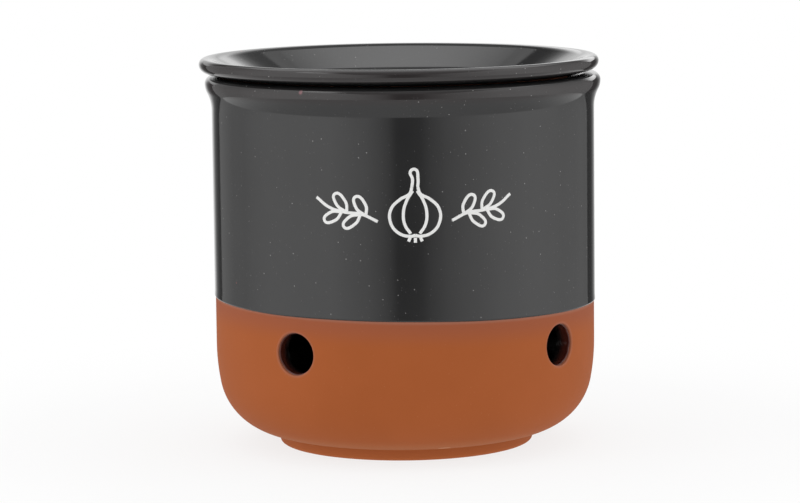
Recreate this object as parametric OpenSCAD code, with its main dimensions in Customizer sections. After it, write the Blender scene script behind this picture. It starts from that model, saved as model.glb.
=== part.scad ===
// Garlic keeper: a round terracotta pot with four air vents, dipped in a dark
// glaze down to a line above the vents, and a loose dished lid.
// The origin is at the centre of the face that the foot ring stands on, +Z is up,
// and the front of the pot faces -Y. All sizes are in millimetres.

/* [Pot] */
// Outside diameter of the bare clay wall
body_d = 123; // [108:0.2:140]
// Height of the clay pot, from the foot to the crown of the lip
pot_h = 119.5; // [100:0.1:150]
// Thickness of the thrown wall
wall_t = 5.2; // [4:0.1:6.5]
// Thickness of the base inside the foot ring
base_t = 6; // [4.5:0.1:8]
// Radius of the long slow curve that leads the wall inwards
belly_r = 69; // [50:1:90]
// Angle that the slow curve turns through before the corner
belly_angle = 10.6; // [6:0.2:14]
// Radius of the rounded lower corner
corner_r = 20.1; // [14:0.1:26]
// Radius of the corner inside the pot
inner_corner_r = 15.5; // [10:0.1:18]

/* [Foot ring] */
// Outside diameter of the foot ring
foot_d = 82.4; // [60:0.2:90]
// Height of the foot ring below the base
foot_h = 3.8; // [2.6:0.1:6]
// Width of the face that the foot ring stands on, its rounded edges included
foot_w = 6.2; // [5:0.1:9]
// Radius of the rounded edges of the foot ring
foot_edge = 1.2; // [0.6:0.1:1.6]

/* [Lip] */
// How far the lip stands out beyond the wall
lip_overhang = 2.1; // [1.2:0.1:3]
// Radius of the lip's outer edge
lip_edge_r = 2; // [0.8:0.1:2.4]
// Radius of the crown, from its top outwards
lip_crown_r = 12; // [5:0.1:14]
// Radius of the lip's underside, where it turns into the cove
lip_under_r = 6; // [4:0.1:8]
// Radius of the hollow cove between the wall and the lip
cove_r = 13.3; // [8:0.1:18]
// Radius of the lip's inner edge
lip_inner_r = 3; // [2:0.1:3.6]

/* [Air vents] */
// Diameter of a vent
vent_d = 13.4; // [8:0.1:16]
// Height of the vents' centres above the foot
vent_h = 36; // [32:0.1:38]
// Angle between the two vents of a pair, front or back
vent_spread = 86.8; // [70:0.2:100]
// How far the vents are turned from the front towards the right
vent_turn = 9.2; // [-20:0.2:20]
// Depth of the bevel that the wet sponge leaves around a vent
vent_bevel = 0.6; // [0.3:0.1:1]

/* [Glaze] */
// Thickness of the fired glaze
glaze_t = 0.3; // [0.2:0.05:0.5]
// Height of the dip line at the pot's axis
dip_h = 47.2; // [46:0.1:80]
// Slope of the dip line, in degrees, rising to the left
dip_slope = 1.2; // [0:0.1:1.5]
// Angle that the lid's glaze wraps under its rim
lid_wrap = 70; // [20:1:78]

/* [Lid] */
// How far the lid's rim stands out beyond the lip, when the lid lies centred
lid_overhang = 0.65; // [0:0.05:2]
// Radius of the rim's upper edge
rim_top_r = 1.8; // [1.4:0.1:2.4]
// Radius of the rim's lower edge
rim_under_r = 3.1; // [2.6:0.1:4.2]
// Radius of the roll from the crest into the dish
crest_r = 8; // [7:0.1:12]
// Slope of the dish's side, in degrees
dish_slope = 28; // [24:0.5:34]
// Depth of the dish below the crest
dish_depth = 8; // [6:0.1:10]
// Radius between the dish's side and its floor
dish_fillet_r = 10; // [7:0.1:12]
// Thickness of the lid's plate
lid_t = 4.8; // [4:0.1:6]

/* [Fits] */
// Gap between the lid's seat and the crown of the lip
seat_gap = 0.3; // [0.2:0.05:0.5]
// Play between the lid's plug and the glazed mouth, on each side
plug_play = 1.5; // [1:0.1:2]
// How far to the right the lid lies within its play, as a share of the play
lid_lie = -0.8; // [-0.9:0.1:0.9]

/* [Hidden] */
$fn = 180;
terracotta = [0.64, 0.36, 0.21];
charcoal = [0.20, 0.20, 0.21];
liner_dark = [0.13, 0.11, 0.11];
// Cutters run this far past what they cut
past = 5;
// Where arcs meet, a slice of a disc runs on by this angle inside its neighbour
lap = 20;

// Pot radii and heights
wall_r = body_d / 2;
mouth_r = wall_r - wall_t;
foot_r = foot_d / 2;
belly_z = foot_h + corner_r + (belly_r - corner_r) * sin(belly_angle);
belly_c = [wall_r - belly_r, belly_z];
corner_c = belly_c + (belly_r - corner_r) * [cos(belly_angle), -sin(belly_angle)];
floor_z = foot_h + base_t;

// Centres of the lip's arcs, each tangent to the next
lip_r = wall_r + lip_overhang;
crown_c = [mouth_r + lip_inner_r, pot_h - lip_crown_r];
inner_c = [mouth_r + lip_inner_r, pot_h - lip_inner_r];
edge_x = lip_r - lip_edge_r;
edge_rise = sqrt(pow(lip_crown_r - lip_edge_r, 2) - pow(edge_x - crown_c.x, 2));
edge_c = [edge_x, crown_c.y + edge_rise];
edge_angle = atan2(edge_rise, edge_x - crown_c.x);
under_c = [lip_r - lip_under_r, edge_c.y];
cove_x = wall_r + cove_r;
cove_drop = sqrt(pow(cove_r + lip_under_r, 2) - pow(cove_x - under_c.x, 2));
cove_c = [cove_x, under_c.y - cove_drop];
cove_angle = atan2(cove_drop, cove_x - under_c.x);
turn_p = under_c + lip_under_r * [cos(cove_angle), -sin(cove_angle)];

// Lid: its width follows the lip, and its seat stands clear of the glazed crown
lid_d = 2 * (lip_r + lid_overhang);
lid_r = lid_d / 2;
seat_z = pot_h + glaze_t + seat_gap;
rim_mid_z = seat_z + rim_under_r;
rim_c = [lid_r - rim_top_r, rim_mid_z];
rim_under_c = [lid_r - rim_under_r, rim_mid_z];
crest_c = [rim_c.x, rim_mid_z + rim_top_r - crest_r];
// Unit vectors down the dish's side and square to it
side_down = [-cos(dish_slope), -sin(dish_slope)];
side_out = [-sin(dish_slope), cos(dish_slope)];
dish_z = rim_mid_z + rim_top_r - dish_depth;
side_top = crest_c + crest_r * side_out;
side_len = (side_top.y + dish_fillet_r * side_out.y - dish_z - dish_fillet_r) / -side_down.y;
fillet_c = side_top + side_len * side_down + dish_fillet_r * side_out;
plug_r = mouth_r - glaze_t - plug_play;
lid_shift = lid_lie * plug_play;

// A slice of a disc about the origin, between two angles less than 180 apart
module sector(r, from, to) {
    far = 1.5 * r / cos((to - from) / 4);
    mid = (from + to) / 2;
    intersection() {
        circle(r = r);
        polygon([[0, 0], far * [cos(from), sin(from)], far * [cos(mid), sin(mid)], far * [cos(to), sin(to)]]);
    }
}

// Half profile of the pot's rounded lower part, filled to the axis
module lower_outline() {
    intersection() {
        translate(belly_c) sector(belly_r, -belly_angle, lap);
        square([body_d, belly_z + past]);
    }
    translate(corner_c) circle(r = corner_r);
    translate([0, foot_h]) square([corner_c.x, belly_z + past - foot_h]);
}

// Half profile of the foot ring, sunk a little into the base
module foot_outline() {
    translate([foot_r - foot_w, foot_edge]) square([foot_w, foot_h - foot_edge + base_t / 2]);
    translate([foot_r - foot_w + foot_edge, 0]) square([foot_w - 2 * foot_edge, foot_edge]);
    for (x = [foot_r - foot_w + foot_edge, foot_r - foot_edge])
        translate([x, foot_edge]) circle(r = foot_edge);
}

// Half profile of the wall and the lip, filled to the axis and grown by g
module upper_outline(g = 0, from_z = belly_z) {
    turn_x = under_c.x + (lip_under_r + g) * cos(cove_angle);
    translate([0, from_z]) square([wall_r + g, inner_c.y - from_z]);
    difference() {
        translate([mouth_r, cove_c.y]) square([turn_x - mouth_r, turn_p.y - cove_c.y]);
        translate(cove_c) circle(r = cove_r - g);
    }
    translate(under_c) sector(lip_under_r + g, -cove_angle - lap, 0);
    translate(edge_c) circle(r = lip_edge_r + g);
    translate(crown_c) sector(lip_crown_r + g, edge_angle, 90);
    translate(inner_c) circle(r = lip_inner_r + g);
}

// Half profile of the room inside the pot, shrunk by g
module room_outline(g = 0) {
    corner = [mouth_r - inner_corner_r, floor_z + inner_corner_r];
    translate([0, corner.y]) square([mouth_r - g, pot_h + past - corner.y]);
    translate([0, floor_z + g]) square([corner.x, inner_corner_r]);
    translate(corner) circle(r = inner_corner_r - g);
}

// The four vents as cutters: a bore through the wall and a bevel at its mouth
module vent_cutters() {
    for (half = [0, 180], side = [-1, 1])
        rotate([0, 0, half + vent_turn + side * vent_spread / 2]) {
            translate([0, -wall_r / 2, vent_h]) rotate([90, 0, 0]) cylinder(d = vent_d, h = wall_r);
            translate([0, -wall_r + vent_bevel, vent_h]) rotate([90, 0, 0])
                cylinder(d1 = vent_d, d2 = vent_d + 4 * vent_bevel, h = 2 * vent_bevel);
        }
}

// Everything under the sloping dip line
module below_dip_line() {
    size = 2 * body_d;
    translate([0, 0, dip_h]) rotate([0, dip_slope, 0])
        translate([-size / 2, -size / 2, -size]) cube(size);
}

// The bare clay pot: wall, rounded base, foot ring and rolled lip
module pot_body() {
    color(terracotta) difference() {
        rotate_extrude() difference() {
            union() {
                lower_outline();
                upper_outline();
                foot_outline();
            }
            room_outline();
        }
        vent_cutters();
    }
}

// The coat on the outside, from the dip line over the lip to the mouth
module pot_glaze() {
    start_z = dip_h - wall_r * tan(dip_slope) - past;
    color(charcoal) difference() {
        rotate_extrude() difference() {
            upper_outline(glaze_t, start_z);
            upper_outline(0, start_z - past);
        }
        below_dip_line();
        vent_cutters();
    }
}

// The coat inside the pot, which the vents pierce
module liner_glaze() {
    color(liner_dark) difference() {
        rotate_extrude() intersection() {
            difference() {
                room_outline();
                room_outline(glaze_t);
            }
            square([wall_r, inner_c.y]);
        }
        vent_cutters();
    }
}

// Half profile of all that lies under the lid's upper face, grown by g
module lid_outline(g = 0) {
    side_start = crest_c + (crest_r + g) * side_out;
    side_end = fillet_c - (dish_fillet_r - g) * side_out;
    low = dish_z - 3 * lid_t;
    translate(crest_c) sector(crest_r + g, 90, 90 + dish_slope + lap);
    polygon([side_start, side_end, [fillet_c.x, low], [crest_c.x, low], crest_c]);
    difference() {
        translate([0, low]) square([side_end.x, side_end.y - low]);
        translate(fillet_c) circle(r = dish_fillet_r - g);
        translate([-past, dish_z + g]) square([fillet_c.x + past, dish_fillet_r]);
    }
}

// Half profile of the lid's rounded rim, grown by g, down to an angle under it
module rim_outline(g = 0, wrap = 90) {
    translate(rim_c) circle(r = rim_top_r + g);
    translate(rim_under_c) sector(rim_under_r + g, -wrap, 0);
}

// The bare clay lid: rim, dished plate and the plug that sits in the mouth
module lid_body() {
    color(terracotta) translate([lid_shift, 0, 0]) rotate_extrude() {
        rim_outline();
        // The rim's inner part, over the seat
        intersection() {
            lid_outline();
            union() {
                translate([plug_r, seat_z]) square([rim_under_c.x - plug_r, crest_r]);
                translate(rim_under_c) square([rim_c.x - rim_under_c.x, crest_r]);
            }
        }
        // The dished plate, down inside the mouth
        intersection() {
            difference() {
                lid_outline();
                lid_outline(-lid_t);
            }
            square([plug_r, seat_z + crest_r]);
        }
    }
}

// The coat on the lid: dish, crest and rim, down to its edge under the rim
module lid_glaze() {
    color(charcoal) translate([lid_shift, 0, 0]) rotate_extrude() difference() {
        union() {
            lid_outline(glaze_t);
            rim_outline(glaze_t, lid_wrap);
        }
        lid_outline();
        rim_outline();
    }
}

pot_body();
pot_glaze();
liner_glaze();
lid_body();
lid_glaze();
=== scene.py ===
# %% [markdown]
# # A garlic keeper
# This lesson dresses a garlic keeper: a round terracotta pot that was dipped upside down in a
# dark glaze, with four air vents above its foot and a loose, dished lid. A model made in CAD
# gives every size and place. Blender adds what a potter's hands and the kiln add: rounded
# edges, a glaze line that wanders a little, runs of glaze in the vents, grain and specks.

# %% Load the frame
import math

import bmesh
import bpy
from mathutils import Matrix, Vector


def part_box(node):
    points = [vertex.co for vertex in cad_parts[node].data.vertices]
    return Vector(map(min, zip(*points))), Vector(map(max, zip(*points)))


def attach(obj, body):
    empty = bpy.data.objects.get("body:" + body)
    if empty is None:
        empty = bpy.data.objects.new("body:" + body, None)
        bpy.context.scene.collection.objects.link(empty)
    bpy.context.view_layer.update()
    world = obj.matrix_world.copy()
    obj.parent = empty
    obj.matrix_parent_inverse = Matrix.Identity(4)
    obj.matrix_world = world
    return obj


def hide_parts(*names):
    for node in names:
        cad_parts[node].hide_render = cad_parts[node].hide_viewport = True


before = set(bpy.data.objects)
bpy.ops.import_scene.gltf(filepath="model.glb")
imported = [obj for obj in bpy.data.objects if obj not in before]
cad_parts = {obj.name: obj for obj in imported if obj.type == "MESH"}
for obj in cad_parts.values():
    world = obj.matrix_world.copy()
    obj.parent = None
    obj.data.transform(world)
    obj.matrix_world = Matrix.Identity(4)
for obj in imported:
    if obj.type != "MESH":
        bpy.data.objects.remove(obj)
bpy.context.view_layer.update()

MM = 0.001

# %% [markdown]
# ## The camera
# The photograph was taken from just above the lid, with a long lens, about a metre away. A
# camera could be aimed with a constraint. Here its three axes are worked out from how far it
# looks down, leans and turns, because those are the numbers that were measured, and the
# matrix then holds them exactly.

# %% Place the camera
LENS_MM, SENSOR_MM = 153.39, 36
CAMERA_AT = Vector((0.0, -1.1, 0.20135))
LOOKS_DOWN, LEANS, TURNS = 0.126468, -0.011315, -0.001321


def in_scene(name, data):
    """A new object in the scene, at the origin and unturned."""
    made = bpy.data.objects.new(name, data)
    bpy.context.scene.collection.objects.link(made)
    return made


level = math.cos(LOOKS_DOWN)
forward = Vector((math.sin(TURNS) * level, math.cos(TURNS) * level, -math.sin(LOOKS_DOWN)))
right = Vector((math.cos(TURNS), -math.sin(TURNS), 0.0))
up = right.cross(forward)
view_x = right * math.cos(LEANS) + up * math.sin(LEANS)
view_y = up * math.cos(LEANS) - right * math.sin(LEANS)

camera = in_scene("camera", bpy.data.cameras.new("camera"))
camera.data.lens = LENS_MM
camera.data.sensor_width = SENSOR_MM
camera.data.sensor_fit = "HORIZONTAL"
camera.data.clip_start = 0.01
camera.matrix_world = Matrix((view_x, view_y, -forward)).transposed().to_4x4()
camera.location = CAMERA_AT
bpy.context.scene.camera = camera
print("camera at", [round(v, 4) for v in camera.location], "lens", LENS_MM)

# %% [markdown]
# ## Background and floor
# The background is plain white. It could be lit until it clips, but then that light would
# also wash out the pot. So the world shows white only to the camera, to mirror-like
# reflections and through glass, and lights the pot with a much dimmer grey. The floor works
# in the same way: it keeps a faint shadow near the foot and fades into the white. For soft
# light it glows a little less, as a lit table does.


# %% Helpers that build node trees
def put(socket, value):
    """Gives an input a plain value, or links it to the socket that feeds it."""
    if isinstance(value, bpy.types.NodeSocket):
        socket.id_data.links.new(value, socket)
    else:
        socket.default_value = value


def add_node(tree, kind, *values, settings=(), **named):
    """A node with attributes from settings, and inputs given in order or by name."""
    node = tree.nodes.new(kind)
    for key, value in dict(settings).items():
        setattr(node, key, value)
    for socket, value in zip(node.inputs, values):
        put(socket, value)
    for key, value in named.items():
        put(node.inputs[key.replace("_", " ")], value)
    return node


def calculate(tree, operation, *values):
    """The result of a Math node. Each value is a number or a socket."""
    return add_node(tree, "ShaderNodeMath", *values, settings={"operation": operation}).outputs[0]


def measure(tree, operation, *vectors):
    """The plain number that a Vector Math node finds, such as a length or a distance."""
    node = add_node(tree, "ShaderNodeVectorMath", *vectors, settings={"operation": operation})
    return node.outputs["Value"]


def seen_directly(tree):
    """A value that is 1 for camera, glossy and transmission rays, and 0 for the rest."""
    path = add_node(tree, "ShaderNodeLightPath").outputs
    seen = calculate(tree, "MAXIMUM", path["Is Camera Ray"], path["Is Glossy Ray"])
    return calculate(tree, "MAXIMUM", seen, path["Is Transmission Ray"])


# %% Make the white world
bpy.context.scene.view_settings.view_transform = "Standard"
WHITE, ROOM_GREY = 1.0, 0.16
world = bpy.data.worlds.new("white room")
bpy.context.scene.world = world
world.use_nodes = True
tree = world.node_tree
tree.nodes.clear()
dim = add_node(tree, "ShaderNodeBackground", Color=(ROOM_GREY, ROOM_GREY, ROOM_GREY, 1))
bright = add_node(tree, "ShaderNodeBackground", Color=(WHITE, WHITE, WHITE, 1))
pick = add_node(tree, "ShaderNodeMixShader", seen_directly(tree), dim.outputs[0], bright.outputs[0])
add_node(tree, "ShaderNodeOutputWorld", Surface=pick.outputs[0])
print("world: white to the camera, grey", ROOM_GREY, "to the pot")


# %% Helpers that make a mesh and an empty material
def mesh_of(name, bm):
    """A mesh made of a bmesh, which is then freed."""
    mesh = bpy.data.meshes.new(name)
    bm.to_mesh(mesh)
    bm.free()
    return mesh


def bare_material(name):
    """A material with an empty node tree, and the tree."""
    material = bpy.data.materials.new(name)
    material.use_nodes = True
    material.node_tree.nodes.clear()
    return material, material.node_tree


# %% Make the floor
FLOOR_R, PAPER_GREY = 0.32, 0.82
SHADE_R, WHITE_R = 0.07, 0.24
FOOT_GLOW, TABLE_GLOW = 0.72, 0.8
bm = bmesh.new()
bmesh.ops.create_circle(bm, cap_ends=True, cap_tris=False, segments=96, radius=FLOOR_R)
floor = in_scene("floor", mesh_of("floor", bm))

floor_paint, tree = bare_material("pale floor")
paper = add_node(tree, "ShaderNodeBsdfDiffuse", Color=(PAPER_GREY, PAPER_GREY, PAPER_GREY, 1))
glow = add_node(tree, "ShaderNodeEmission", Color=(1, 1, 1, 1), Strength=WHITE)
from_middle = measure(tree, "LENGTH", add_node(tree, "ShaderNodeTexCoord").outputs["Object"])
fade = add_node(
    tree, "ShaderNodeMapRange", settings={"interpolation_type": "SMOOTHSTEP"},
    Value=from_middle, From_Min=SHADE_R, From_Max=WHITE_R, To_Min=FOOT_GLOW, To_Max=1.0,
)
direct = calculate(tree, "MULTIPLY", fade.outputs["Result"], seen_directly(tree))
lit_share = calculate(tree, "MAXIMUM", direct, TABLE_GLOW)
blend = add_node(tree, "ShaderNodeMixShader", lit_share, paper.outputs[0], glow.outputs[0])
add_node(tree, "ShaderNodeOutputMaterial", Surface=blend.outputs[0])
floor.data.materials.append(floor_paint)
print("floor radius in m:", FLOOR_R)

# %% [markdown]
# ## Soft light
# Glossy dark ware is mostly seen by what it mirrors. The pot stood in a light tent: glowing
# cloth on the left, on the right and overhead, an opening at the front that gives the dark
# band down the middle of the glaze, and a darker cloth at the back. Area lights could stand
# for the cloth, but rays pass through them to the white world behind. Boards that glow hide
# it, and a ramp along each one makes it brightest beside its lamp, as real cloth is.


# %% A glowing board with a ramp along one axis
def ramp_along(tree, axis, stops, bow=0.0):
    """A value that follows (metres along an axis, level) stops in the board's own space.
    A bow makes the stops curve away to the left and right, as the hem of a cloth does."""
    spot = add_node(tree, "ShaderNodeTexCoord").outputs["Object"]
    split = add_node(tree, "ShaderNodeSeparateXYZ", spot).outputs
    hem = calculate(tree, "POWER", split["X"], 4.0)
    bent = calculate(tree, "MULTIPLY_ADD", hem, -bow, split[axis])
    low, high = stops[0][0], stops[-1][0]
    share = add_node(tree, "ShaderNodeMapRange", Value=bent, From_Min=low, From_Max=high)
    curve = add_node(tree, "ShaderNodeValToRGB", share.outputs[0])
    while len(curve.color_ramp.elements) < len(stops):
        curve.color_ramp.elements.new(1.0)
    for stop, (metres, level) in zip(curve.color_ramp.elements, stops):
        stop.position = (metres - low) / (high - low)
        stop.color = (level, level, level, 1)
    return curve.outputs["Color"]


def glowing_board(name, corner, across, upward, axis, stops, rise=("Z", ((-1.0, 1.0), (1.0, 1.0)))):
    """A flat board that glows by its ramp, times a second ramp: an axis, stops and a bow."""
    bm = bmesh.new()
    bmesh.ops.create_grid(bm, x_segments=1, y_segments=1, size=0.5)
    for vert in bm.verts:
        vert.co = Vector(corner) + Vector(across) * (vert.co.x + 0.5) + Vector(upward) * (vert.co.y + 0.5)
    board = in_scene(name, mesh_of(name, bm))
    board.visible_camera = False
    cloth, tree = bare_material(name)
    colour, strength = ramp_along(tree, axis, stops), ramp_along(tree, *rise)
    glow = add_node(tree, "ShaderNodeEmission", Color=colour, Strength=strength)
    add_node(tree, "ShaderNodeOutputMaterial", Surface=glow.outputs[0])
    board.data.materials.append(cloth)
    print(name, "glows from", min(s[1] for s in stops), "to", max(s[1] for s in stops))


# %% Hang the cloth on the left and right
SIDE_X, FRONT_Y, BACK_Y, LOW_Z, TOP_Z = 0.6, -1.4, 0.75, -0.5, 0.78
LEFT_GLOW = [
    (-1.4, 1.25), (-1.09, 1.36), (-0.84, 1.5), (-0.64, 1.64), (-0.38, 1.6), (-0.17, 1.49),
    (-0.06, 1.34), (0.04, 1.11), (0.17, 0.77), (0.34, 0.56), (0.64, 0.46), (0.75, 0.42),
]
RIGHT_GLOW = [
    (-1.4, 0.88), (-1.09, 1.02), (-0.84, 1.18), (-0.64, 1.3), (-0.5, 1.42), (-0.38, 1.54), (-0.17, 1.57),
    (-0.06, 1.43), (0.04, 1.23), (0.17, 0.92), (0.34, 0.65), (0.64, 0.37), (0.75, 0.38),
]
SIDE_RISE = [(LOW_Z, 0.95), (0.0, 1.0), (0.3, 1.0), (0.5, 1.05), (TOP_Z, 1.1)]
depth, height = (0, BACK_Y - FRONT_Y, 0), (0, 0, TOP_Z - LOW_Z)
for name, side_x, side_glow in (("left cloth", -SIDE_X, LEFT_GLOW), ("right cloth", SIDE_X, RIGHT_GLOW)):
    glowing_board(name, (side_x, FRONT_Y, LOW_Z), depth, height, "Y", side_glow, ("Z", SIDE_RISE))

# %% Hang the cloth in front
FRONT_GLOW = [
    (-0.6, 1.25), (-0.54, 1.19), (-0.354, 0.92), (-0.2145, 0.65), (-0.15, 0.45), (-0.096, 0.28), (0.0, 0.26),
    (0.12, 0.28), (0.2, 0.31), (0.26, 0.36), (0.32, 0.48), (0.387, 0.6), (0.55, 0.79), (0.6, 0.84),
]
width = (2 * SIDE_X, 0, 0)
glowing_board("front cloth", (-SIDE_X, FRONT_Y, LOW_Z), width, height, "X", FRONT_GLOW)

# %% Hang three strips of cloth behind
HEM_Z, STRIP_Z = 0.25, 0.65
LOWER_GLOW = [
    (-0.6, 0.05), (-0.54, 0.09), (-0.49, 0.11), (-0.46, 0.14), (-0.41, 0.2), (-0.363, 0.32), (-0.312, 0.6),
    (-0.253, 0.9), (-0.2, 1.0), (0.17, 1.0), (0.192, 0.75), (0.272, 0.42), (0.33, 0.25), (0.378, 0.15),
    (0.426, 0.08), (0.6, 0.07),
]
MIDDLE_GLOW = [(-0.6, 0.7), (-0.13, 0.7), (-0.03, 0.85), (0.03, 1.25), (0.1, 1.5), (0.6, 1.5)]
MIDDLE_RISE = [
    (0.25, 1.0), (0.3, 1.3), (0.36, 1.3), (0.4, 0.85), (0.44, 0.55), (0.48, 0.3), (0.54, 0.15), (0.65, 0.13),
]
UPPER_GLOW = [(-0.6, 0.55), (-0.17, 0.55), (-0.15, 0.28), (0.15, 0.28), (0.17, 0.55), (0.6, 0.55)]
for name, from_z, to_z, *ramps in (
    ("lower back cloth", LOW_Z, HEM_Z, LOWER_GLOW),
    ("middle back cloth", HEM_Z, STRIP_Z, MIDDLE_GLOW, ("Z", MIDDLE_RISE)),
    ("upper back cloth", STRIP_Z, TOP_Z, UPPER_GLOW),
):
    glowing_board(name, (-SIDE_X, BACK_Y, from_z), width, (0, 0, to_z - from_z), "X", *ramps)

# %% Hang the cloth overhead
TOP_GLOW = [
    (-1.4, 0.5), (-0.5, 0.65), (-0.3, 0.85), (0.0, 1.6), (0.2, 1.95), (0.37, 1.95), (0.43, 1.85),
    (0.49, 1.55), (0.57, 1.2), (0.66, 0.88), (0.75, 0.66),
]
# The bright part ends in a curved hem. A bow of 190 moves it 0.3 m at 0.2 m aside
TOP_HEM, TOP_BOW = [(0.0, 1.0), (0.555, 1.0), (0.59, 0.3), (1.0, 0.3)], 190.0
glowing_board("top cloth", (-SIDE_X, FRONT_Y, TOP_Z), width, depth, "Y", TOP_GLOW, ("Y", TOP_HEM, TOP_BOW))

# %% Hang the lamp
LAMP_WATTS, LAMP_AT, LAMP_AIM = 0.5, (-0.45, -0.28, 0.74), Vector((0, 0, 0.1))
lamp = bpy.data.lights.new("key lamp", "AREA")
lamp.shape = "RECTANGLE"
lamp.size, lamp.size_y = 0.26, 0.3
lamp.energy = LAMP_WATTS
key_lamp = in_scene("key lamp", lamp)
key_lamp.location = LAMP_AT
key_lamp.rotation_euler = (LAMP_AIM - key_lamp.location).to_track_quat("-Z", "Y").to_euler()
key_lamp.visible_camera = False
print("lamp at", [round(v, 2) for v in key_lamp.location])

# %% [markdown]
# ## Sizes
# The CAD model's own sizes are written again here, in millimetres, because a lathe profile
# needs the centres of its arcs and a finished mesh doesn't give them. Each piece is then
# checked against the box of the CAD node that it stands for.

# %% Sizes of the pot
WALL_R, MOUTH_R = 61.5, 56.3
FOOT_R, FOOT_W, FOOT_H, FOOT_EDGE = 41.2, 6.2, 3.8, 1.2
BELLY_R, BELLY_ANGLE, CORNER_R = 69.0, 10.6, 20.1
FLOOR_Z, ROOM_CORNER_R = 9.8, 15.5
POT_H, LIP_R = 119.5, 63.6
EDGE_R, CROWN_R, UNDER_R, COVE_R, INNER_R = 2.0, 12.0, 6.0, 13.3, 3.0
GLAZE = 0.3
DIP_Z, DIP_SLOPE = 47.2, 1.2

belly_z = FOOT_H + CORNER_R + (BELLY_R - CORNER_R) * math.sin(math.radians(BELLY_ANGLE))
corner_x = WALL_R - BELLY_R + (BELLY_R - CORNER_R) * math.cos(math.radians(BELLY_ANGLE))
corner_c = (corner_x, FOOT_H + CORNER_R)
room_c = (MOUTH_R - ROOM_CORNER_R, FLOOR_Z + ROOM_CORNER_R)
inner_c = (MOUTH_R + INNER_R, POT_H - INNER_R)
crown_c = (MOUTH_R + INNER_R, POT_H - CROWN_R)
edge_rise = math.sqrt((CROWN_R - EDGE_R) ** 2 - (LIP_R - EDGE_R - crown_c[0]) ** 2)
edge_c = (LIP_R - EDGE_R, crown_c[1] + edge_rise)
edge_angle = math.degrees(math.atan2(edge_rise, edge_c[0] - crown_c[0]))
under_c = (LIP_R - UNDER_R, edge_c[1])
cove_drop = math.sqrt((COVE_R + UNDER_R) ** 2 - (WALL_R + COVE_R - under_c[0]) ** 2)
cove_c = (WALL_R + COVE_R, under_c[1] - cove_drop)
cove_angle = math.degrees(math.atan2(cove_drop, cove_c[0] - under_c[0]))
print("lip edge", [round(v, 2) for v in edge_c], "cove turns", round(cove_angle, 2))

# %% Sizes of the vents and the lid
VENT_R, VENT_Z = 6.7, 36.0
VENT_TURNS = (-34.2, 52.6, 145.8, 232.6)
LID_X, LID_R, SEAT_Z, PLUG_R, LID_T = -1.2, 64.23, 120.1, 54.5, 4.8
LID_TOP, CREST_R = 125.0, 8.0
DISH_SLOPE, DISH_DEPTH, DISH_FILLET = 28.0, 8.0, 10.0
# The CAD rounds the rim's underside. The photograph shows it slope up to a slimmer edge
RIM_TOP_R, RIM_UNDER_R, UNDER_SLOPE = 1.6, 2.3, 15.0

rim_z = LID_TOP - RIM_TOP_R
rim_c, rim_under_c = (LID_R - RIM_TOP_R, rim_z), (LID_R - RIM_UNDER_R, rim_z)
under = math.radians(UNDER_SLOPE)
slope_top = (rim_under_c[0] + RIM_UNDER_R * math.sin(under), rim_z - RIM_UNDER_R * math.cos(under))
slope_len = (slope_top[1] - SEAT_Z) / math.sin(under)
crest_c = (rim_c[0], LID_TOP - CREST_R)
dish_z = LID_TOP - DISH_DEPTH
slope = math.radians(DISH_SLOPE)
side_top = (crest_c[0] - CREST_R * math.sin(slope), crest_c[1] + CREST_R * math.cos(slope))
side_len = (side_top[1] + DISH_FILLET * math.cos(slope) - dish_z - DISH_FILLET) / math.sin(slope)
fillet_c = (
    side_top[0] - side_len * math.cos(slope) - DISH_FILLET * math.sin(slope),
    side_top[1] - side_len * math.sin(slope) + DISH_FILLET * math.cos(slope),
)
print("crest", [round(v, 2) for v in crest_c], "dish fillet", [round(v, 2) for v in fillet_c])

# %% [markdown]
# ## Drawing a profile as a potter's rib would cut it
# Everything round here is a profile turned about an axis. The profile is drawn with the same
# operator that turns it: spinning a single vertex about a centre draws an arc, and extruding
# it draws a straight stretch. So every arc is true and meets the next one smoothly.


# %% Helpers that draw and turn a profile
def start_at(bm, radius, height):
    """The first point of a profile."""
    return bm.verts.new((radius * MM, 0, height * MM))


def extend(bm, tip, step, parts=1):
    """Draws a straight stretch of equal parts."""
    for _ in range(parts):
        tip = bmesh.ops.extrude_vert_indiv(bm, verts=[tip])["verts"][0]
        tip.co += step
    return tip


def line_to(bm, tip, radius, height, parts=1):
    """Draws a straight stretch to a point, in equal parts."""
    return extend(bm, tip, (Vector((radius * MM, 0, height * MM)) - tip.co) / parts, parts)


def swing(bm, tip, centre, axis, degrees, parts):
    """Draws an arc by spinning a point about a centre, given in millimetres."""
    cent = tuple(c * MM for c in centre)
    turned = bmesh.ops.spin(bm, geom=[tip], cent=cent, axis=axis, angle=math.radians(degrees), steps=parts)
    return [g for g in turned["geom_last"] if isinstance(g, bmesh.types.BMVert)][0]


def arc_about(bm, tip, centre, degrees, parts):
    """Draws an arc in a profile. A positive angle turns from outwards to upwards."""
    return swing(bm, tip, (centre[0], 0, centre[1]), (0, -1, 0), degrees, parts)


def spin_round(bm, steps, axis, axis_x=0.0):
    """Spins the drawn profile into a full round, and closes its seam and its poles."""
    bmesh.ops.spin(
        bm, geom=list(bm.verts) + list(bm.edges), cent=(axis_x * MM, 0, 0), axis=axis,
        angle=2 * math.pi, steps=steps, use_merge=True,
    )
    bmesh.ops.remove_doubles(bm, verts=bm.verts, dist=1e-7)


def turn_profile(bm, steps, axis_x=0.0):
    """Turns the drawn profile about an upright axis, with its faces outwards."""
    spin_round(bm, steps, (0, 0, 1), axis_x)
    bmesh.ops.recalc_face_normals(bm, faces=bm.faces)


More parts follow.
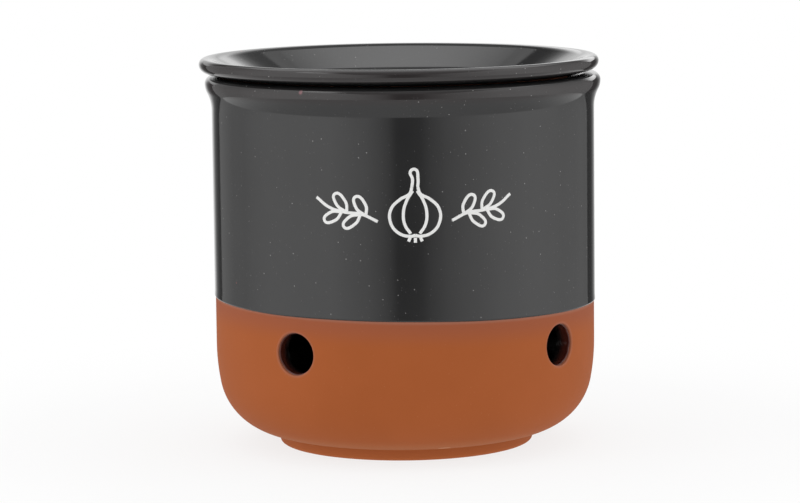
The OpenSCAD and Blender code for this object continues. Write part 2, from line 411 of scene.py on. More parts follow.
# %% Helpers that finish a piece
def new_piece(name, bm, body, stands_for=()):
    """Makes a smooth-shaded object of a bmesh, and ties it to a body of the CAD model."""
    for face in bm.faces:
        face.smooth = True
    piece = in_scene(name, mesh_of(name, bm))
    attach(piece, body)
    if stands_for:
        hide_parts(*stands_for)
    print(name, len(piece.data.polygons), "faces, rides on", body)
    return piece


def even_shading(piece):
    """Lets the large faces decide the shading, so that fillets don't bend their reflections."""
    weigh = piece.modifiers.new("even shading", "WEIGHTED_NORMAL")
    weigh.mode = "FACE_AREA"
    weigh.keep_sharp = True


def compare_with_cad(piece, node):
    """Prints how far the piece's box is from its CAD node's box, in millimetres."""
    corners = [v.co for v in piece.data.vertices]
    for side, find, cad_side in zip(("low", "high"), (min, max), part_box(node)):
        mine = [find(c[i] for c in corners) for i in range(3)]
        print(node, side, "sides off by", [round((m - c) / MM, 3) for m, c in zip(mine, cad_side)])


# %% [markdown]
# ## The clay pot
# The pot is one solid of clay: foot ring, rounded base, wall, rolled lip and the room inside.
# Its profile runs from the axis under the base, round the foot, up the outside, over the lip
# and down to the axis again on the inside floor. The notch above the foot is softened as a
# wet sponge would.

# %% Draw and turn the clay pot
CLAY_STEPS, COAT_STEPS = 288, 360
NOTCH_R, RECESS_R = 0.5, 0.8
foot_in = FOOT_R - FOOT_W
notch_x = FOOT_R + NOTCH_R
notch_z = corner_c[1] - math.sqrt((CORNER_R + NOTCH_R) ** 2 - (notch_x - corner_x) ** 2)
notch_turn = math.degrees(math.atan2(corner_c[1] - notch_z, notch_x - corner_x))

bm = bmesh.new()
tip = start_at(bm, 0, FOOT_H)
tip = line_to(bm, tip, foot_in - RECESS_R, FOOT_H, 6)
tip = arc_about(bm, tip, (foot_in - RECESS_R, FOOT_H - RECESS_R), -90, 5)
tip = line_to(bm, tip, foot_in, FOOT_EDGE)
tip = arc_about(bm, tip, (foot_in + FOOT_EDGE, FOOT_EDGE), 90, 8)
tip = line_to(bm, tip, FOOT_R - FOOT_EDGE, 0, 2)
tip = arc_about(bm, tip, (FOOT_R - FOOT_EDGE, FOOT_EDGE), 90, 8)
tip = line_to(bm, tip, FOOT_R, notch_z)
tip = arc_about(bm, tip, (notch_x, notch_z), -notch_turn, 6)
tip = arc_about(bm, tip, corner_c, notch_turn - BELLY_ANGLE, 24)
tip = arc_about(bm, tip, (WALL_R - BELLY_R, belly_z), BELLY_ANGLE, 6)
tip = line_to(bm, tip, WALL_R, DIP_Z + 3, 7)
tip = line_to(bm, tip, WALL_R, cove_c[1], 6)
tip = arc_about(bm, tip, cove_c, -cove_angle, 5)
tip = arc_about(bm, tip, under_c, cove_angle, 4)
tip = arc_about(bm, tip, edge_c, edge_angle, 5)
tip = arc_about(bm, tip, crown_c, 90 - edge_angle, 5)
tip = arc_about(bm, tip, inner_c, 90, 8)
tip = line_to(bm, tip, MOUTH_R, DIP_Z, 5)
tip = line_to(bm, tip, MOUTH_R, room_c[1], 7)
tip = arc_about(bm, tip, room_c, -90, 10)
line_to(bm, tip, 0, FLOOR_Z, 5)
turn_profile(bm, CLAY_STEPS)
clay_pot = new_piece("clay_pot", bm, "pot", ["pot_body"])
compare_with_cad(clay_pot, "pot_body")

# %% [markdown]
# ## The vents
# The vents were cut with a tube while the clay was leather-hard, and a wet sponge rounded
# their rims. Cutting a plain cylinder and bevelling the edge afterwards works, but the bevel
# pinches where the faces of the wall are uneven. So the cutter itself flares like a trumpet,
# and is bent to the curve of the wall, and one Boolean leaves an even rounded rim.


# %% Helpers that fit a round shape to its vent
def bend_to_wall(vert):
    """Moves a point inwards as the wall curves away, so that a rim is as deep at its sides."""
    vert.co.y += (WALL_R - math.sqrt(WALL_R**2 - (vert.co.x / MM) ** 2)) * MM


def move_to_vent(bm, turn):
    """Turns a shape round the pot's axis and lifts it to the height of the vents."""
    matrix = Matrix.Rotation(math.radians(turn), 3, "Z")
    bmesh.ops.rotate(bm, verts=bm.verts, cent=(0, 0, 0), matrix=matrix)
    bmesh.ops.translate(bm, verts=bm.verts, vec=(0, 0, VENT_Z * MM))


# %% Make a cutter for one vent
TOOL_LEN, TOOL_STEPS = 12, 72
# The flare is an arc that stops just short of the wall's own direction
FLARE_ANGLE, FLARE_END = 76, Vector((1.2, -0.6, 0))


def vent_tool(name, turn, bore, flare):
    """A trumpet-ended cutter that points outwards through the wall, as an object."""
    bm = bmesh.new()
    tip = bm.verts.new((bore * MM, -(WALL_R - TOOL_LEN) * MM, 0))
    tip = extend(bm, tip, Vector())
    tip.co.y = -(WALL_R - flare) * MM
    tip = swing(bm, tip, (bore + flare, -(WALL_R - flare), 0), (0, 0, 1), FLARE_ANGLE, 7)
    extend(bm, tip, FLARE_END * MM)
    spin_round(bm, TOOL_STEPS, (0, 1, 0))
    bmesh.ops.holes_fill(bm, edges=bm.edges, sides=0)
    for vert in bm.verts:
        bend_to_wall(vert)
    bmesh.ops.recalc_face_normals(bm, faces=bm.faces)
    move_to_vent(bm, turn)
    return in_scene(name, mesh_of(name, bm))


# %% Cut the vents
def cut_vents(piece, bore, flare):
    """Takes the four vents out of a piece and keeps only the cut mesh."""
    tools = [vent_tool(f"tool {turn}", turn, bore, flare) for turn in VENT_TURNS]
    for tool in tools:
        cut = piece.modifiers.new("vent", "BOOLEAN")
        cut.operation = "DIFFERENCE"
        cut.solver = "EXACT"
        cut.object = tool
    bpy.context.view_layer.update()
    graph = bpy.context.evaluated_depsgraph_get()
    mesh = bpy.data.meshes.new_from_object(piece.evaluated_get(graph))
    piece.modifiers.clear()
    piece.data = mesh
    for tool in tools:
        bpy.data.objects.remove(tool)
    print(piece.name, "now has", len(mesh.polygons), "faces")


CLAY_FLARE = 0.5
cut_vents(clay_pot, VENT_R, CLAY_FLARE)
even_shading(clay_pot)

# %% [markdown]
# ## The glaze on the outside
# The pot was held by its foot and dipped, so its coat ends in a level line with a small
# rolled edge. The coat is a thin closed shell: its outer side is the clay's profile grown by
# the thickness of the glaze, and its inner side lies just inside the clay, where it can't
# flicker against it. The line then gets the slope that the CAD gives it, and a gentle wander.

# %% Draw and turn the outer coat
SUNK = 0.05
BEAD_R, BEAD_H, BEAD_FADE = 0.36, 0.7, 2.2
HEM_DROP = 0.3


def lip_arcs(bm, tip, down=False):
    """The lip's arcs as far out as the tip is: finely up over the lip, or coarsely back down."""
    arcs = [
        (cove_c, -cove_angle, 8),
        (under_c, cove_angle, 8),
        (edge_c, edge_angle, 9),
        (crown_c, 90 - edge_angle, 10),
        (inner_c, 90, 16),
    ]
    for centre, degrees, parts in reversed(arcs) if down else arcs:
        tip = arc_about(bm, tip, centre, -degrees if down else degrees, 4 if down else parts)
    return tip


bm = bmesh.new()
first = start_at(bm, WALL_R - SUNK, DIP_Z)
tip = line_to(bm, first, WALL_R, DIP_Z)
tip = arc_about(bm, tip, (WALL_R, DIP_Z + BEAD_R), 90, 8)
tip = line_to(bm, tip, WALL_R + BEAD_R - 0.01, DIP_Z + BEAD_H)
tip = line_to(bm, tip, WALL_R + GLAZE, DIP_Z + BEAD_FADE, 4)
tip = line_to(bm, tip, WALL_R + GLAZE, cove_c[1], 24)
tip = lip_arcs(bm, tip)
tip = line_to(bm, tip, MOUTH_R - GLAZE, inner_c[1] - HEM_DROP)
tip = arc_about(bm, tip, (MOUTH_R, inner_c[1] - HEM_DROP), 90, 5)
tip = line_to(bm, tip, MOUTH_R + SUNK, inner_c[1] - 2 * HEM_DROP)
tip = line_to(bm, tip, MOUTH_R + SUNK, inner_c[1])
tip = lip_arcs(bm, tip, down=True)
tip = line_to(bm, tip, WALL_R - SUNK, DIP_Z + 0.5, 4)
bm.edges.new((tip, first))
turn_profile(bm, COAT_STEPS)

# %% Let the glaze line wander
# Each wave has a height in millimetres, a count round the pot and a start
WANDER = ((0.12, 2, 0.6), (0.07, 5, 2.0), (0.03, 11, 0.0))
STILL_ABOVE, SETTLES_OVER = 16, 12


def dip_line(x, y):
    """Height of the glaze line above its height at the axis, in millimetres."""
    angle = math.atan2(x, -y)
    wander = sum(high * math.sin(count * angle + start) for high, count, start in WANDER)
    return -x / MM * math.tan(math.radians(DIP_SLOPE)) + wander


for vert in bm.verts:
    above = vert.co.z / MM - DIP_Z
    share = min(max((STILL_ABOVE - above) / SETTLES_OVER, 0), 1)
    vert.co.z += dip_line(vert.co.x, vert.co.y) * share * share * (3 - 2 * share) * MM
pot_coat = new_piece("pot_coat", bm, "pot", ["pot_glaze"])
compare_with_cad(pot_coat, "pot_glaze")
even_shading(pot_coat)

# %% [markdown]
# ## The glaze inside
# A darker glaze was poured in and out again, so it covers the floor and the wall up to the
# mouth, and it ran into the vents. The coat is turned like the outer one, and the vents go
# through it.

# %% Turn the inner coat
LINER_TOP, LINER_FLARE = inner_c[1] - 0.1, 0.3
bm = bmesh.new()
tip = start_at(bm, 0, FLOOR_Z - SUNK)
tip = line_to(bm, tip, room_c[0], FLOOR_Z - SUNK, 3)
tip = arc_about(bm, tip, room_c, 90, 6)
tip = line_to(bm, tip, MOUTH_R + SUNK, LINER_TOP, 8)
tip = line_to(bm, tip, MOUTH_R - GLAZE + SUNK, LINER_TOP)
tip = line_to(bm, tip, MOUTH_R - GLAZE, inner_c[1] - 2, 2)
tip = line_to(bm, tip, MOUTH_R - GLAZE, room_c[1], 24)
tip = arc_about(bm, tip, room_c, -90, 20)
line_to(bm, tip, 0, FLOOR_Z + GLAZE, 6)
turn_profile(bm, CLAY_STEPS)
pot_liner = new_piece("pot_liner", bm, "pot", ["liner_glaze"])
compare_with_cad(pot_liner, "liner_glaze")
cut_vents(pot_liner, VENT_R - SUNK, LINER_FLARE)
even_shading(pot_liner)

# %% [markdown]
# ## Glaze runs in the vents
# The inner glaze crept out along each vent and stopped in a ragged, beaded edge just inside
# the rim. Each run is a short sleeve turned about the vent, with a rolled end.
# The end is then pushed in and out along the vent, so that no two runs are alike.

# %% Make the sleeves of glaze
RUN_FROM, RUN_TO, RUN_T, RUN_STEPS = MOUTH_R - 0.35, WALL_R - 0.85, 0.22, 120
# Each wave has a height in millimetres, a count round the vent and a share of the vent's turn
RAGGED = ((0.12, 1, 1), (0.1, 3, 2), (0.06, 8, 1), (0.04, 15, 3))
# Each point of the sleeve's profile has a radius, a distance from the pot's axis and parts
SLEEVE = (
    (VENT_R - RUN_T, RUN_FROM, 1),
    (VENT_R - RUN_T, RUN_TO - 1.2, 8),
    (VENT_R - 1.6 * RUN_T, RUN_TO - 0.5, 3),
    (VENT_R - 1.5 * RUN_T, RUN_TO - 0.2, 2),
    (VENT_R - 0.6 * RUN_T, RUN_TO, 2),
    (VENT_R + SUNK, RUN_TO, 1),
)


def creep(angle, turn):
    """How far past its mean edge the glaze crept at an angle round the vent, in millimetres."""
    return sum(high * math.sin(count * angle + share * turn) for high, count, share in RAGGED)


def vent_sleeve(bm, turn):
    """Adds one sleeve, from the inner wall nearly to the outer one."""
    sleeve = bmesh.new()
    tip = sleeve.verts.new(((VENT_R + SUNK) * MM, -RUN_FROM * MM, 0))
    for radius, along, parts in SLEEVE:
        tip = extend(sleeve, tip, (Vector((radius * MM, -along * MM, 0)) - tip.co) / parts, parts)
    spin_round(sleeve, RUN_STEPS, (0, 1, 0))
    for vert in sleeve.verts:
        angle = math.atan2(vert.co.z, vert.co.x)
        out = (-vert.co.y / MM - RUN_FROM) / (RUN_TO - RUN_FROM)
        vert.co.y -= creep(angle, math.radians(turn)) * max(out, 0) ** 2 * MM
        bend_to_wall(vert)
    bmesh.ops.recalc_face_normals(sleeve, faces=sleeve.faces)
    # An open tube's recalculated normals may face the clay, and the glaze faces the bore
    probe = sleeve.faces[:][len(sleeve.faces) // 2]
    middle = probe.calc_center_median()
    if probe.normal.dot(Vector((middle.x, 0, middle.z))) > 0:
        bmesh.ops.reverse_faces(sleeve, faces=sleeve.faces)
    move_to_vent(sleeve, turn)
    part = mesh_of("sleeve", sleeve)
    bm.from_mesh(part)
    bpy.data.meshes.remove(part)


bm = bmesh.new()
for turn in VENT_TURNS:
    vent_sleeve(bm, turn)
vent_runs = new_piece("vent_glaze_runs", bm, "pot")

# %% [markdown]
# ## The lid
# The lid is a dished plate with a rounded rim. Its plug drops into the mouth and keeps it
# from sliding off. The clay shows only underneath, because the coat wraps the rim and ends on
# its underside.

# %% Sizes of the plug
PLUG_EDGE, SEAT_NOTCH = 0.9, 0.4
plate_r = DISH_FILLET + LID_T
plate_end = (fillet_c[0] + plate_r * math.sin(slope), fillet_c[1] - plate_r * math.cos(slope))
plug_z = plate_end[1] + (PLUG_R - plate_end[0]) * math.tan(slope)
# The plug's edge turns from the plate's slope to upright
edge_back = PLUG_EDGE * math.tan((math.pi / 2 - slope) / 2)
edge_from = (PLUG_R - edge_back * math.cos(slope), plug_z - edge_back * math.sin(slope))
print("plug from", round(plug_z, 2), "mm up to", SEAT_Z)


def side_foot(lift):
    """The foot of the dish's straight side, lifted off the clay."""
    reach = DISH_FILLET - lift
    return fillet_c[0] + reach * math.sin(slope), fillet_c[1] - reach * math.cos(slope)


def turn_lid(name, bm, steps, node):
    """Turns a profile about the lid's own axis, and makes it a piece of the lid."""
    bmesh.ops.translate(bm, verts=bm.verts, vec=(LID_X * MM, 0, 0))
    turn_profile(bm, steps, LID_X)
    piece = new_piece(name, bm, "lid", [node])
    compare_with_cad(piece, node)
    even_shading(piece)
    return piece


# %% Draw and turn the clay lid
bm = bmesh.new()
tip = start_at(bm, 0, dish_z - LID_T)
tip = line_to(bm, tip, fillet_c[0], dish_z - LID_T, 6)
tip = arc_about(bm, tip, fillet_c, DISH_SLOPE, 8)
tip = line_to(bm, tip, *edge_from, 2)
tip = arc_about(bm, tip, (PLUG_R - PLUG_EDGE, plug_z + edge_back), 90 - DISH_SLOPE, 6)
tip = line_to(bm, tip, PLUG_R, SEAT_Z - SEAT_NOTCH)
tip = arc_about(bm, tip, (PLUG_R + SEAT_NOTCH, SEAT_Z - SEAT_NOTCH), -90, 4)
tip = line_to(bm, tip, slope_top[0] - slope_len * math.cos(under), SEAT_Z, 3)
tip = line_to(bm, tip, *slope_top, 5)
tip = arc_about(bm, tip, rim_under_c, 90 - UNDER_SLOPE, 6)
tip = arc_about(bm, tip, rim_c, 90, 6)
tip = arc_about(bm, tip, crest_c, DISH_SLOPE, 4)
tip = line_to(bm, tip, *side_foot(0), 2)
tip = arc_about(bm, tip, fillet_c, -DISH_SLOPE, 4)
line_to(bm, tip, 0, dish_z, 4)
clay_lid = turn_lid("clay_lid", bm, CLAY_STEPS, "lid_body")

# %% Draw and turn the lid's coat
COAT_REACH = 3.6


def under_rim(along, lift):
    """A point some way down the rim's sloping underside, lifted off the clay."""
    return (
        slope_top[0] - along * math.cos(under) + lift * math.sin(under),
        slope_top[1] - along * math.sin(under) - lift * math.cos(under),
    )


inside_r = CREST_R - SUNK
bm = bmesh.new()
tip = start_at(bm, 0, dish_z - SUNK)
tip = line_to(bm, tip, fillet_c[0], dish_z - SUNK, 3)
tip = arc_about(bm, tip, fillet_c, DISH_SLOPE, 4)
tip = line_to(bm, tip, crest_c[0] - inside_r * math.sin(slope), crest_c[1] + inside_r * math.cos(slope), 2)
tip = arc_about(bm, tip, crest_c, -DISH_SLOPE, 4)
tip = arc_about(bm, tip, rim_c, -90, 5)
tip = arc_about(bm, tip, rim_under_c, UNDER_SLOPE - 90, 5)
tip = line_to(bm, tip, *under_rim(COAT_REACH, -SUNK), 4)
# The rolled end of the coat, a half turn about the middle of its thickness
tip = arc_about(bm, tip, under_rim(COAT_REACH, (GLAZE - SUNK) / 2), 180, 8)
tip = line_to(bm, tip, *under_rim(0, GLAZE), 8)
tip = arc_about(bm, tip, rim_under_c, 90 - UNDER_SLOPE, 12)
tip = arc_about(bm, tip, rim_c, 90, 18)
tip = arc_about(bm, tip, crest_c, DISH_SLOPE, 14)
tip = line_to(bm, tip, *side_foot(GLAZE), 8)
tip = arc_about(bm, tip, fillet_c, -DISH_SLOPE, 12)
line_to(bm, tip, 0, dish_z + GLAZE, 8)
lid_coat = turn_lid("lid_coat", bm, COAT_STEPS, "lid_glaze")

# %% [markdown]
# ## A line drawing on the front
# The front carries a small white drawing in one even line: a bulb of garlic between two
# leafy sprigs. Each stroke is a curve with a round bevel, made a mesh, pressed flat to the
# height of a fired enamel line, and wrapped round the wall.

# %% The strokes, in millimetres from the middle of the drawing
bulb_side = [
    (-0.9, 7.2), (-1.6, 5.2), (-4.6, 3.4), (-7.4, 0.4), (-7.6, -3.6), (-5.2, -6.9), (-1.4, -8.0), (0, -7.7),
]
clove_line = [(-0.7, 6.0), (-2.6, 2.9), (-3.6, -0.8), (-3.1, -4.6), (-1.4, -7.2)]
neck = [(-0.9, 7.2), (-0.7, 9.6), (-1.3, 12.0), (0.2, 12.6), (1.0, 9.8), (0.9, 7.2)]
roots = [[(-1.6, -8.4), (-2.1, -9.6)], [(0, -8.4), (0, -10.0)], [(1.6, -8.4), (2.1, -9.6)]]
sprig = [(11.5, -3.4), (16.5, -1.2), (22.0, -0.6), (27.0, 0.8), (31.2, 3.8)]
leaves = [
    [(15.2, -1.7), (15.2, 1.6), (18.4, 4.2), (18.3, 0.9), (15.2, -1.7)],
    [(16.8, -1.2), (18.6, -4.2), (22.2, -5.2), (20.6, -2.2), (16.8, -1.2)],
    [(21.2, -0.7), (21.6, 2.6), (25.0, 5.0), (24.6, 1.8), (21.2, -0.7)],
    [(22.8, -0.5), (25.0, -3.2), (28.6, -3.4), (26.6, -0.8), (22.8, -0.5)],
]


def mirrored(stroke):
    """The same stroke on the other side of the bulb."""
    return [(-x, z) for x, z in stroke]


strokes = [bulb_side, mirrored(bulb_side), clove_line, mirrored(clove_line), neck, *roots]
strokes += [sprig, mirrored(sprig), *leaves, *[mirrored(leaf) for leaf in leaves]]
print(len(strokes), "strokes")

# %% Draw the strokes and wrap them round the wall
DRAWING_X, DRAWING_Z = 3.4, 82.0
LINE_W, LINE_H = 1.0, 0.16
pen = bpy.data.curves.new("pen", "CURVE")
pen.dimensions = "3D"
pen.bevel_depth = LINE_W / 2 * MM
pen.bevel_resolution = 3
pen.use_fill_caps = True
pen.resolution_u = 10
for stroke in strokes:
    spline = pen.splines.new("BEZIER")
    spline.bezier_points.add(len(stroke) - 1)
    for point, (x, z) in zip(spline.bezier_points, stroke):
        point.co = (x * MM, 0, z * MM)
        point.handle_left_type = point.handle_right_type = "AUTO"
drawn = in_scene("pen", pen)
bpy.context.view_layer.update()
stroke_mesh = bpy.data.meshes.new_from_object(drawn.evaluated_get(bpy.context.evaluated_depsgraph_get()))
bpy.data.objects.remove(drawn)

bm = bmesh.new()
bm.from_mesh(stroke_mesh)
bmesh.ops.remove_doubles(bm, verts=bm.verts, dist=1e-7)
for vert in bm.verts:
    angle = (vert.co.x / MM + DRAWING_X) / (WALL_R + GLAZE)
    out = WALL_R + GLAZE - vert.co.y / (LINE_W / 2 * MM) * LINE_H
    vert.co = Vector((out * math.sin(angle), -out * math.cos(angle), vert.co.z / MM + DRAWING_Z)) * MM
bmesh.ops.recalc_face_normals(bm, faces=bm.faces)
line_drawing = new_piece("line_drawing", bm, "pot")

# %% [markdown]
# ## Effects shared by the finishes
# Clay, glaze and enamel all need a fine grain, and several need specks or a band of another
# colour. Each effect is a node group with named inputs, built once. The groups put out only
# masks and values, and each material decides what to do with them.


# %% Helpers that build a node group
def new_group(name, **inputs):
    """A shader group and its inputs. An input has a default, or is None for a vector."""
    group = bpy.data.node_groups.new(name, "ShaderNodeTree")
    for label, default in inputs.items():
        kind = "NodeSocketVector" if default is None else "NodeSocketFloat"
        socket = group.interface.new_socket(label.replace("_", " "), in_out="INPUT", socket_type=kind)
        if default is not None:
            socket.default_value = default
    return group, group.nodes.new("NodeGroupInput").outputs


def close_group(group, **results):
    """Gives a group its outputs, each with a value."""
    for label in results:
        group.interface.new_socket(label, in_out="OUTPUT", socket_type="NodeSocketFloat")
    add_node(group, "NodeGroupOutput", **results)
    print("group", group.name, "gives out", *results)


# %% Grain: a fine and a broad noise
grain_group, given = new_group("grain", Position=None, Fine_Scale=3000.0, Broad_Scale=60.0)
noises = {}
for label, detail, roughness in (("Fine", 3.0, 0.6), ("Broad", 4.0, 0.55)):
    noise = add_node(
        grain_group, "ShaderNodeTexNoise", Vector=given["Position"], Scale=given[label + " Scale"],
        Detail=detail, Roughness=roughness,
    )
    noises[label] = noise.outputs[0]
close_group(grain_group, **noises)

# %% Specks: small round dots in a few of many cells
speck_group, given = new_group("specks", Position=None, Cells_per_Metre=250.0, Share=0.1, Size=0.05)
cells = add_node(
    speck_group, "ShaderNodeTexVoronoi", settings={"voronoi_dimensions": "3D", "feature": "F1"},
    Vector=given["Position"], Scale=given["Cells per Metre"],
).outputs
number = add_node(speck_group, "ShaderNodeSeparateXYZ", cells["Color"]).outputs["X"]
chosen = calculate(speck_group, "LESS_THAN", number, given["Share"])
inside = calculate(speck_group, "LESS_THAN", cells["Distance"], given["Size"])
close_group(speck_group, Mask=calculate(speck_group, "MULTIPLY", chosen, inside))

# %% Band: a soft step between two distances along a direction or from an axis
band_group, given = new_group("band", Value=0.0, From=0.0, To=1.0)
step = add_node(
    band_group, "ShaderNodeMapRange", settings={"interpolation_type": "SMOOTHSTEP"},
    Value=given["Value"], From_Min=given["From"], From_Max=given["To"],
)
close_group(band_group, Mask=step.outputs["Result"])

# %% Vent ring: how far a point is from a vent's axis, on that vent's side of the pot
ring_group, given = new_group("vent ring", Position=None, Turn=0.0, Height=0.036)
turned = add_node(
    ring_group, "ShaderNodeVectorRotate", settings={"rotation_type": "Z_AXIS"},
    Vector=given["Position"], Angle=given["Turn"],
)
split = add_node(ring_group, "ShaderNodeSeparateXYZ", turned.outputs[0]).outputs
risen = calculate(ring_group, "SUBTRACT", split["Z"], given["Height"])
behind = calculate(ring_group, "MAXIMUM", split["Y"], 0.0)
joined = add_node(ring_group, "ShaderNodeCombineXYZ", split["X"], behind, risen)
close_group(ring_group, Distance=measure(ring_group, "LENGTH", joined.outputs[0]))


# %% Helpers for materials
def new_finish(name, **shader_values):
    """A material with one Principled shader, and the place that its patterns follow."""
    finish, tree = bare_material(name)
    shader = add_node(tree, "ShaderNodeBsdfPrincipled", **shader_values)
    add_node(tree, "ShaderNodeOutputMaterial", Surface=shader.outputs[0])
    return finish, tree, shader, add_node(tree, "ShaderNodeTexCoord").outputs["Object"]


def place_group(tree, group, **values):
    """The outputs of a group in a material, with its own values."""
    return add_node(tree, "ShaderNodeGroup", settings={"node_tree": group}, **values).outputs


def mix_colours(tree, mask, first, second):
    """Mixes two colours by a mask. Each colour is a tuple or a socket."""
    node = add_node(tree, "ShaderNodeMix", settings={"data_type": "RGBA"}, Factor=mask)
    for socket, value in ((node.inputs[6], first), (node.inputs[7], second)):
        put(socket, (*value, 1) if isinstance(value, tuple) else value)
    return node.outputs[2]


def scaled(tree, value, low, high, from_low=0.0, from_high=1.0):
    """Maps a value from one range to another."""
    ends = {"From_Min": from_low, "From_Max": from_high, "To_Min": low, "To_Max": high}
    return add_node(tree, "ShaderNodeMapRange", Value=value, **ends).outputs["Result"]


def mottled(tree, grain, first, second, from_low=0.3):
    """Two colours mixed in broad clouds."""
    return mix_colours(tree, scaled(tree, grain["Broad"], 0.0, 1.0, from_low, 0.7), first, second)


def soft_step(tree, value, start, stop, share=1.0):
    """A mask that rises to a share between two distances, in millimetres."""
    mask = place_group(tree, band_group, Value=value, From=start * MM, To=stop * MM)["Mask"]
    return mask if share == 1.0 else scaled(tree, mask, 0.0, share)


def from_axis(tree, place, axis_x=0.0):
    """The distance from an upright axis."""
    centred = add_node(tree, "ShaderNodeMapping", Vector=place, Location=(-axis_x * MM, 0, 0)).outputs[0]
    flat = add_node(tree, "ShaderNodeVectorMath", centred, (1, 1, 0), settings={"operation": "MULTIPLY"})
    return measure(tree, "LENGTH", flat.outputs[0])


def dress(pieces, finish, tree, shader, colour, grain, roughness, dents=None):
    """Feeds a shader its colour, and its grain as roughness and dents, and puts it on pieces."""
    put(shader.inputs["Base Color"], colour)
    put(shader.inputs["Roughness"], scaled(tree, grain["Fine"], *roughness))
    if dents:
        strength, height = dents
        bump = add_node(tree, "ShaderNodeBump", Strength=strength, Distance=height * MM, Height=grain["Fine"])
        put(shader.inputs["Normal"], bump.outputs["Normal"])
    for piece in pieces:
        piece.data.materials.clear()
        piece.data.materials.append(finish)
        print(finish.name, "on", piece.name)


# %% [markdown]
# ## Terracotta
# The bare clay is matt, orange-brown and finely grained. Under the glaze it is duller, where
# the wet glaze drew salts out of it. A thin pale line right at the glaze line is a painted
# highlight, for the glint on the glaze's rolled edge. Paler clay round the vents is a painted
# highlight on their rounded rims, and paler clay in the bend above the foot and on the foot is
# painted light from the white floor below. The grain is far too fine to model, so it is a
# noise that feeds the colour, the roughness and a Bump.

# %% Mix the terracotta
CLAY, CLAY_DARK, CLAY_DULL = (0.352, 0.0880, 0.0205), (0.325, 0.0800, 0.0170), (0.295, 0.079, 0.032)
CLAY_PAINTED_GLINT, CLAY_LIT_FROM_BELOW, CLAY_FOOT_LIT_FROM_BELOW = (0.33, 0.125, 0.075), (0.365, 0.118, 0.036), (0.38, 0.102, 0.027)
BOUNCE_AND_SCRATCH_BAND, LIT_FOOT_BAND = (8.5, 4.6), (5.2, 3.2)
terracotta, tree, shader, place = new_finish("terracotta", Roughness=0.8, IOR=1.45, Specular_IOR_Level=0.3)
grain = place_group(tree, grain_group, Position=place, Fine_Scale=2600.0, Broad_Scale=30.0)
colour = mottled(tree, grain, CLAY_DARK, CLAY)
# Height in the glaze line's own slope
sloped = (math.tan(math.radians(DIP_SLOPE)), 0, 1)
along = measure(tree, "DOT_PRODUCT", place, sloped)
colour = mix_colours(tree, soft_step(tree, along, DIP_Z - 9, DIP_Z - 1), colour, CLAY_DULL)
# Painted highlight: a thin pale line just under the glaze line, for the glint on its rolled edge
colour = mix_colours(tree, soft_step(tree, along, DIP_Z - 1.1, DIP_Z - 0.1), colour, CLAY_PAINTED_GLINT)
above_table = add_node(tree, "ShaderNodeSeparateXYZ", place).outputs["Z"]
# Painted light: the clay above the foot is paler, for the light that the white floor throws up; the scratches
# lie in the same band
bounce_and_scratch_band = soft_step(tree, above_table, *BOUNCE_AND_SCRATCH_BAND, 0.7)
colour = mix_colours(tree, bounce_and_scratch_band, colour, CLAY_LIT_FROM_BELOW)
# Painted light: the foot is paler, for the light that the white floor throws up
colour = mix_colours(tree, soft_step(tree, above_table, *LIT_FOOT_BAND), colour, CLAY_FOOT_LIT_FROM_BELOW)

# %% Paint highlights round the vents, and add scratches and grog
CLAY_RIM_HIGHLIGHT, CLAY_SCRATCH, CLAY_GROG = (0.35, 0.135, 0.085), (0.60, 0.32, 0.18), (0.43, 0.17, 0.08)
SCRATCH_SLANT, SCRATCH_STRETCH = -38, 10
rings = [
    place_group(tree, ring_group, Position=place, Turn=-math.radians(turn), Height=VENT_Z * MM)["Distance"]
    for turn in VENT_TURNS
]
nearest = rings[0]
for ring in rings[1:]:
    nearest = calculate(tree, "MINIMUM", nearest, ring)
# Painted highlight: the clay is paler round each vent's rounded rim
colour = mix_colours(tree, soft_step(tree, nearest, VENT_R + 1.0, VENT_R + 0.2, 0.5), colour, CLAY_RIM_HIGHLIGHT)
slanted = add_node(
    tree, "ShaderNodeMapping", Vector=place, Rotation=(0, math.radians(SCRATCH_SLANT), 0),
    Scale=(1 / SCRATCH_STRETCH, 1 / SCRATCH_STRETCH, 1),
).outputs[0]
scratch = place_group(tree, speck_group, Position=slanted, Cells_per_Metre=420.0, Share=0.3, Size=0.09)
scratched = calculate(tree, "MULTIPLY", scratch["Mask"], bounce_and_scratch_band)
colour = mix_colours(tree, scratched, colour, CLAY_SCRATCH)
grog = place_group(tree, speck_group, Position=place, Cells_per_Metre=900.0, Share=0.10, Size=0.16)
colour = mix_colours(tree, scaled(tree, grog["Mask"], 0.0, 0.25), colour, CLAY_GROG)
dress((clay_pot, clay_lid), terracotta, tree, shader, colour, grain, (0.72, 0.9), (0.3, 0.05))

# %% [markdown]
# ## Charcoal glaze
# The glaze is glass with iron in it: nearly black, glossy, with a few pale specks of clay and
# fewer reddish ones. Where it ran thin, over the lip and the rim of the lid, the brown of the
# body comes through. The distance from the axis finds those places.

# %% Mix the charcoal glaze
GLAZE_BLACK, GLAZE_GREY = (0.0105, 0.0105, 0.0108), (0.0140, 0.0140, 0.0143)
GLAZE_THIN = (0.0175, 0.0130, 0.0130)
# Each kind of speck has cells per metre, a share of the cells, a size, a strength and a colour
SPECKS = (
    (900.0, 0.25, 0.14, 0.4, (0.10, 0.10, 0.10)),
    (430.0, 0.3, 0.085, 0.7, (0.24, 0.235, 0.23)),
    (130.0, 0.1, 0.05, 0.8, (0.16, 0.045, 0.04)),
)
# One pale pinkish spot at the lip, a painted highlight of the lamp on the glaze
LIP_HIGHLIGHT_AT, LIP_HIGHLIGHT_BAND = (-31.2 * MM, -55.2 * MM, 118.0 * MM), (0.95, 0.35)
LIP_HIGHLIGHT_COLOUR = (0.20, 0.09, 0.10)


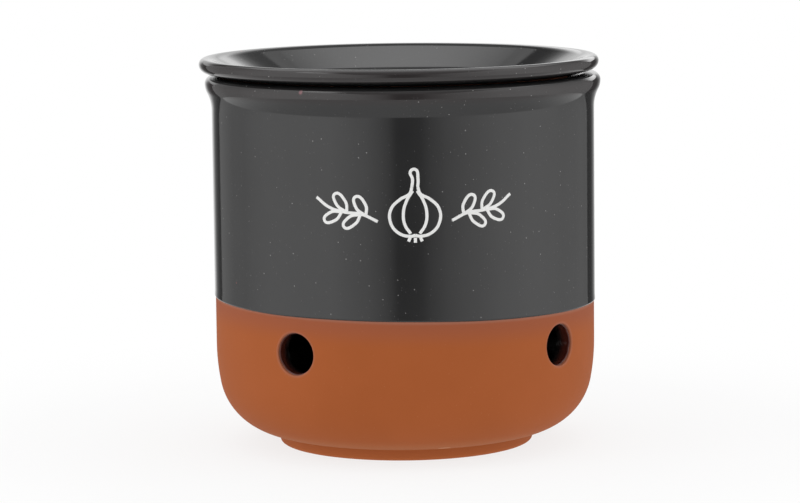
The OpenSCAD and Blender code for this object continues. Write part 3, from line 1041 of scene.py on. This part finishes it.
def charcoal_glaze(name, piece, axis_x, thin_from, thin_to):
    """The glaze, thin between two distances from a piece's axis, in millimetres."""
    finish, tree, shader, place = new_finish(name, IOR=1.5)
    grain = place_group(tree, grain_group, Position=place, Fine_Scale=420.0, Broad_Scale=35.0)
    colour = mottled(tree, grain, GLAZE_BLACK, GLAZE_GREY)
    thin = soft_step(tree, from_axis(tree, place, axis_x), thin_from, thin_to, 0.7)
    colour = mix_colours(tree, thin, colour, GLAZE_THIN)
    for cells, share, size, strength, tint in SPECKS:
        specks = place_group(tree, speck_group, Position=place, Cells_per_Metre=cells, Share=share, Size=size)
        colour = mix_colours(tree, scaled(tree, specks["Mask"], 0.0, strength), colour, tint)
    # Painted highlight: a pale spot on the lip
    lip_highlight = soft_step(tree, measure(tree, "DISTANCE", place, LIP_HIGHLIGHT_AT), *LIP_HIGHLIGHT_BAND)
    colour = mix_colours(tree, lip_highlight, colour, LIP_HIGHLIGHT_COLOUR)
    dress([piece], finish, tree, shader, colour, grain, (0.05, 0.1), (0.15, 0.03))


charcoal_glaze("charcoal glaze", pot_coat, 0.0, 62.9, 63.9)
charcoal_glaze("charcoal glaze of the lid", lid_coat, LID_X, 62.9, 64.3)

# %% [markdown]
# ## Inner glaze and enamel
# The inner glaze is a thicker, browner black with the same shine. Where it crept out along
# the vents it is thin, so the red of the clay comes through. The drawing is opaque white
# enamel, a little less glossy than the glaze that it was fired on.

# %% Mix the inner glaze
LINER_BLACK, LINER_BROWN = (0.0085, 0.0075, 0.0078), (0.017, 0.012, 0.0115)
LINER_RED, RED_BAND = (0.085, 0.018, 0.011), (56.6, 59.6)


def inner_glaze(name, piece, red, ripples):
    """The glaze inside, with a share of red near the outer wall and a height of its ripples."""
    finish, tree, shader, place = new_finish(name, IOR=1.5)
    grain = place_group(tree, grain_group, Position=place, Fine_Scale=900.0, Broad_Scale=60.0)
    colour = mottled(tree, grain, LINER_BLACK, LINER_BROWN, 0.35)
    red_share = soft_step(tree, from_axis(tree, place), *RED_BAND, red)
    colour = mix_colours(tree, red_share, colour, LINER_RED)
    dress([piece], finish, tree, shader, colour, grain, (0.1, 0.22), (0.4, ripples))


inner_glaze("inner glaze", pot_liner, 0.0, 0.05)
inner_glaze("inner glaze in the vents", vent_runs, 0.9, 0.25)

# %% Mix the white enamel
ENAMEL, ENAMEL_PALE = (0.70, 0.70, 0.69), (0.80, 0.80, 0.79)
enamel, tree, shader, place = new_finish("white enamel", IOR=1.5)
grain = place_group(tree, grain_group, Position=place, Fine_Scale=1800.0, Broad_Scale=150.0)
colour = mix_colours(tree, grain["Broad"], ENAMEL, ENAMEL_PALE)
dress([line_drawing], enamel, tree, shader, colour, grain, (0.3, 0.45))
